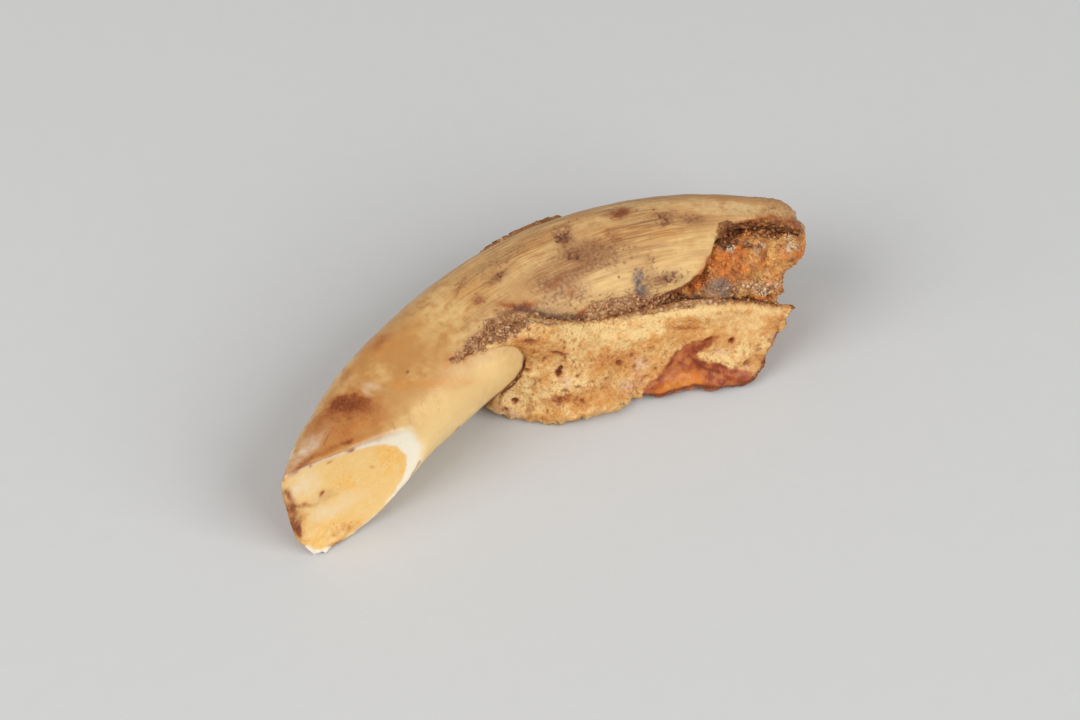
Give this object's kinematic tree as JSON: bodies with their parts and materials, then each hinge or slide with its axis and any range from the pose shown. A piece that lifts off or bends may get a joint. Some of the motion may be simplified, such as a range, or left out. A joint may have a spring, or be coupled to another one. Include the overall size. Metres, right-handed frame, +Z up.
{
  "type": "horse tooth",
  "caption": "Worn horse incisor on its side: curved crown with an oblique worn face, ridged root, a broken piece of jaw bone round the root and a crumbly filling in its open end.",
  "frame": {"origin": "middle of the bottom of the bounding box, on the surface that the tooth lies on", "axes": "+X from the biting end towards the root, -Y the hollow (tongue's) side of the curve, +Z up"},
  "size_m": [0.0754, 0.0284, 0.0178],
  "materials": {
    "tooth": "worn satin ivory",
    "jaw_bone": "porous dry bone",
    "socket_fill": "crumbly, dull"
  },
  "bodies": {
    "root": {"tooth": "tooth", "jaw_bone": "jaw_bone", "socket_fill": "socket_fill"}
  },
  "joints": []
}
